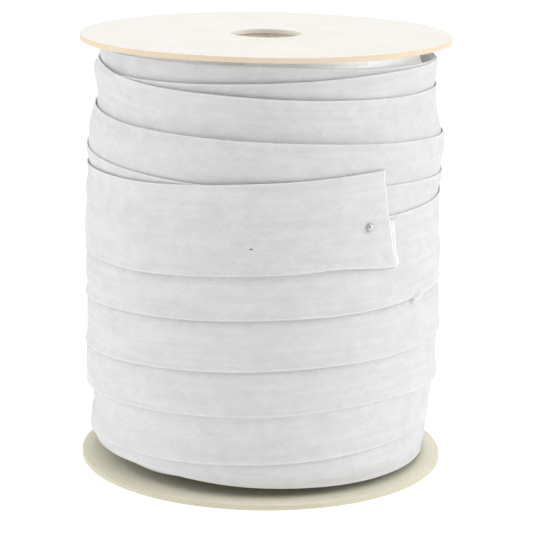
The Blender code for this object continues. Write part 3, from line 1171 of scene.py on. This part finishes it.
class TAPEROLL_OT_pin(bpy.types.Operator):
    """Make the straight pin that holds the loose end"""

    bl_idname = "tape_roll.pin"
    bl_label = "Pin"

    def execute(self, context):
        settings = context.scene.tape_roll_pin
        deselect()
        head_height = HEAD_FLATNESS * settings.head_radius
        shank_end = settings.length - 2.0 * head_height
        stations = [
            (0.3 * MM, settings.radius * 0.45),
            (1.2 * MM, settings.radius * 0.7),
            (GROUND_POINT, settings.radius),
            (shank_end, settings.radius),
        ]
        middle = shank_end + head_height
        for step in range(1, 10):
            turn = math.pi * step / 10.0
            out = settings.head_radius * math.sin(turn)
            if out > settings.radius:
                stations.append((middle - head_height * math.cos(turn), out))
        stations.append((settings.length, settings.radius * 0.4))
        bpy.ops.mesh.primitive_circle_add(vertices=24, radius=0.02 * MM, fill_type="NGON")
        pin = bpy.context.object
        pin.name = "straight_pin"
        bpy.ops.object.mode_set(mode="EDIT")
        bpy.ops.mesh.select_all(action="SELECT")
        height, radius = 0.0, 0.02 * MM
        for next_height, next_radius in stations:
            bpy.ops.mesh.extrude_region_move(
                TRANSFORM_OT_translate={"value": (0.0, 0.0, next_height - height)}
            )
            grow = next_radius / radius
            bpy.ops.transform.resize(value=(grow, grow, 1.0), center_override=(0.0, 0.0, 0.0))
            height, radius = next_height, next_radius
        bpy.ops.object.mode_set(mode="OBJECT")
        face_outwards(pin.data)
        for name, colour, roughness in (
            ("Nickel-plated steel wire", settings.colour, 0.32),
            ("Steel wire, point painted dark as shade", settings.point_shade_colour, 0.5),
        ):
            pin.data.materials.append(nickel_plate(name, colour, roughness))
        # The point's polygons take the dark colour: painted shade where the point leaves its hole.
        for polygon in pin.data.polygons:
            if polygon.center.z < GROUND_POINT:
                polygon.material_index = 1
        pin.location, turn = pin_ends()
        pin.rotation_mode = "QUATERNION"
        pin.rotation_quaternion = turn
        apply_place(pin)
        bpy.ops.object.shade_smooth_by_angle(angle=math.radians(40.0))
        finish_piece(pin, None, "pin_steel", "pin")
        return {"FINISHED"}


# Where threads have frayed out of the fifth turn's lower edge: angle, height and radius.
TUFT_AT = (56.9, 54.3, 51.2)
TUFT_LOOPS = 13


def thread_loop(start, reach, lean, size, thickness):
    """One frayed thread as a thin closed cord that bows out of the cloth and back."""
    normal = Vector((math.sin(math.radians(start[0])), -math.cos(math.radians(start[0])), 0.0))
    across = Vector((-normal.y, normal.x, 0.0))
    up = Vector((0.0, 0.0, 1.0))
    middle = Vector(place_on_roll(start[0], start[2], start[1]))
    rings, sides = 15, 6
    path = []
    for step in range(rings):
        turn = math.pi * (1.25 * step / (rings - 1) - 0.1)
        away = across * math.cos(lean) + up * math.sin(lean)
        aside = across * -math.sin(lean) + up * math.cos(lean)
        bow = away * (reach * math.sin(turn)) + aside * (size * math.cos(turn))
        path.append(middle + bow + normal * (0.3 * reach * math.sin(turn)))
    points = []
    for step, place in enumerate(path):
        way = (path[min(step + 1, rings - 1)] - path[max(step - 1, 0)]).normalized()
        first = way.cross(normal).normalized()
        second = way.cross(first)
        slim = thickness * (0.7 if step in (0, rings - 1) else 1.0)
        ring = []
        for side in range(sides):
            turn = 2.0 * math.pi * side / sides
            ring.append(place + first * (slim * math.cos(turn)) + second * (slim * math.sin(turn)))
        points.append(ring)
    return np.array(points)


class TAPEROLL_OT_thread_tuft(bpy.types.Operator):
    """Make the small tuft of frayed threads on one turn's edge, at the right"""

    bl_idname = "tape_roll.thread_tuft"
    bl_label = "Thread Tuft"

    def execute(self, context):
        deselect()
        meshes = []
        for number in range(TUFT_LOOPS):
            lean = 0.5 + 1.9 * number
            reach = (0.7 + 0.35 * math.sin(2.3 * number)) * MM
            size = (0.34 + 0.15 * math.cos(1.7 * number)) * MM
            place = (
                TUFT_AT[0] + 2.0 * math.sin(2.9 * number),
                TUFT_AT[1] + 0.35 * math.sin(2.9 * number) + 0.45 * math.cos(3.7 * number),
                TUFT_AT[2] + 0.05 * number / TUFT_LOOPS,
            )
            points = thread_loop(place, reach, lean, size, 0.1 * MM)
            ends = ([range(6)], [range(6)])
            meshes.append(mesh_from_grid("loop", points, points[:, :, :2], ends))
        whole = bmesh.new()
        for mesh in meshes:
            whole.from_mesh(mesh)
            bpy.data.meshes.remove(mesh)
        bmesh.ops.recalc_face_normals(whole, faces=whole.faces)
        tuft = bpy.data.meshes.new("thread_tuft")
        whole.to_mesh(tuft)
        whole.free()
        thread = raw_cotton_edge("White cotton thread, frayed", hex_colour("#FAFAFA"))
        add_piece("thread_tuft", tuft, thread, "tape")
        return {"FINISHED"}


class TAPEROLL_OT_stage(bpy.types.Operator):
    """Set the table, the lights and the camera"""

    bl_idname = "tape_roll.stage"
    bl_label = "Stage"

    def execute(self, context):
        settings = context.scene.tape_roll_stage
        deselect()
        bpy.ops.mesh.primitive_plane_add(size=12.0, location=(0.0, 0.0, -0.02 * MM))
        table = bpy.context.object
        table.name = "table"
        apply_place(table)
        acrylic = lit_acrylic("Opal acrylic, lit", hex_colour("#707070"), settings.glow)
        table.data.materials.append(acrylic)
        world = bpy.data.worlds.new("Even white room")
        context.scene.world = world
        world.use_nodes = True
        background = world.node_tree.nodes["Background"]
        background.inputs["Color"].default_value = (1.0, 1.0, 1.0, 1.0)
        background.inputs["Strength"].default_value = settings.sky
        lights = (
            # name, strength, elevation, azimuth from the front towards +X, width
            ("overhead_light", settings.overhead, 75.0, 160.0, 40.0),
            ("front_light", settings.front, 60.0, 0.0, 30.0),
            ("low_front_light", settings.low_front, 7.0, -3.0, 14.0),
            ("left_light", settings.left, 26.0, -90.0, 50.0),
            ("right_light", settings.right, 26.0, 86.0, 50.0),
        )
        for name, strength, elevation, azimuth, width in lights:
            data = bpy.data.lights.new(name, "SUN")
            data.energy = strength
            data.angle = math.radians(width)
            light = bpy.data.objects.new(name, data)
            context.collection.objects.link(light)
            up, round_to = math.radians(elevation), math.radians(azimuth)
            level = Vector((math.sin(round_to), -math.cos(round_to), 0.0)) * math.cos(up)
            towards = level + Vector((0.0, 0.0, math.sin(up)))
            light.rotation_mode = "QUATERNION"
            light.rotation_quaternion = towards.to_track_quat("Z", "Y")
        data = bpy.data.cameras.new("camera")
        data.lens = settings.lens
        data.clip_start = 0.01
        camera = bpy.data.objects.new("camera", data)
        context.collection.objects.link(camera)
        look = Matrix.Rotation(math.pi / 2.0 - settings.camera_pitch, 4, "X")
        lean = Matrix.Rotation(settings.camera_roll, 4, "Z")
        place = Matrix.Translation((1.0 * MM, -settings.camera_distance, settings.camera_height))
        camera.matrix_world = place @ look @ lean
        context.scene.camera = camera
        context.scene.view_settings.view_transform = "Standard"
        return {"FINISHED"}


class TAPEROLL_PT_panel(bpy.types.Panel):
    """Tape roll tools"""

    bl_idname = "TAPEROLL_PT_panel"
    bl_label = "Tape Roll"
    bl_space_type = "VIEW_3D"
    bl_region_type = "UI"
    bl_category = "Tape Roll"

    def draw(self, context):
        layout = self.layout
        for group, operators in PANEL_ROWS:
            box = layout.box()
            settings = getattr(context.scene, group)
            for name in settings.__annotations__:
                box.prop(settings, name)
            for operator in operators:
                box.operator(operator)


PANEL_ROWS = (
    ("tape_roll_spool", ("tape_roll.card_discs", "tape_roll.paper_tube")),
    ("tape_roll_cloth", ("tape_roll.wound_tape", "tape_roll.thread_tuft")),
    ("tape_roll_pin", ("tape_roll.pin",)),
    ("tape_roll_stage", ("tape_roll.stage",)),
)
GROUPS = (
    ("tape_roll_spool", TapeRollSpool),
    ("tape_roll_cloth", TapeRollCloth),
    ("tape_roll_pin", TapeRollPin),
    ("tape_roll_stage", TapeRollStage),
)
CLASSES = (
    TAPEROLL_OT_card_discs,
    TAPEROLL_OT_paper_tube,
    TAPEROLL_OT_wound_tape,
    TAPEROLL_OT_thread_tuft,
    TAPEROLL_OT_pin,
    TAPEROLL_OT_stage,
    TAPEROLL_PT_panel,
)


def register():
    for name, group in GROUPS:
        bpy.utils.register_class(group)
        setattr(bpy.types.Scene, name, PointerProperty(type=group))
    for item in CLASSES:
        bpy.utils.register_class(item)


def unregister():
    for item in reversed(CLASSES):
        bpy.utils.unregister_class(item)
    for name, group in reversed(GROUPS):
        delattr(bpy.types.Scene, name)
        bpy.utils.unregister_class(group)


def main():
    register()
    bpy.ops.tape_roll.stage()
    bpy.ops.tape_roll.card_discs()
    bpy.ops.tape_roll.paper_tube()
    bpy.ops.tape_roll.wound_tape()
    bpy.ops.tape_roll.thread_tuft()
    bpy.ops.tape_roll.pin()


if __name__ == "__main__":
    main()
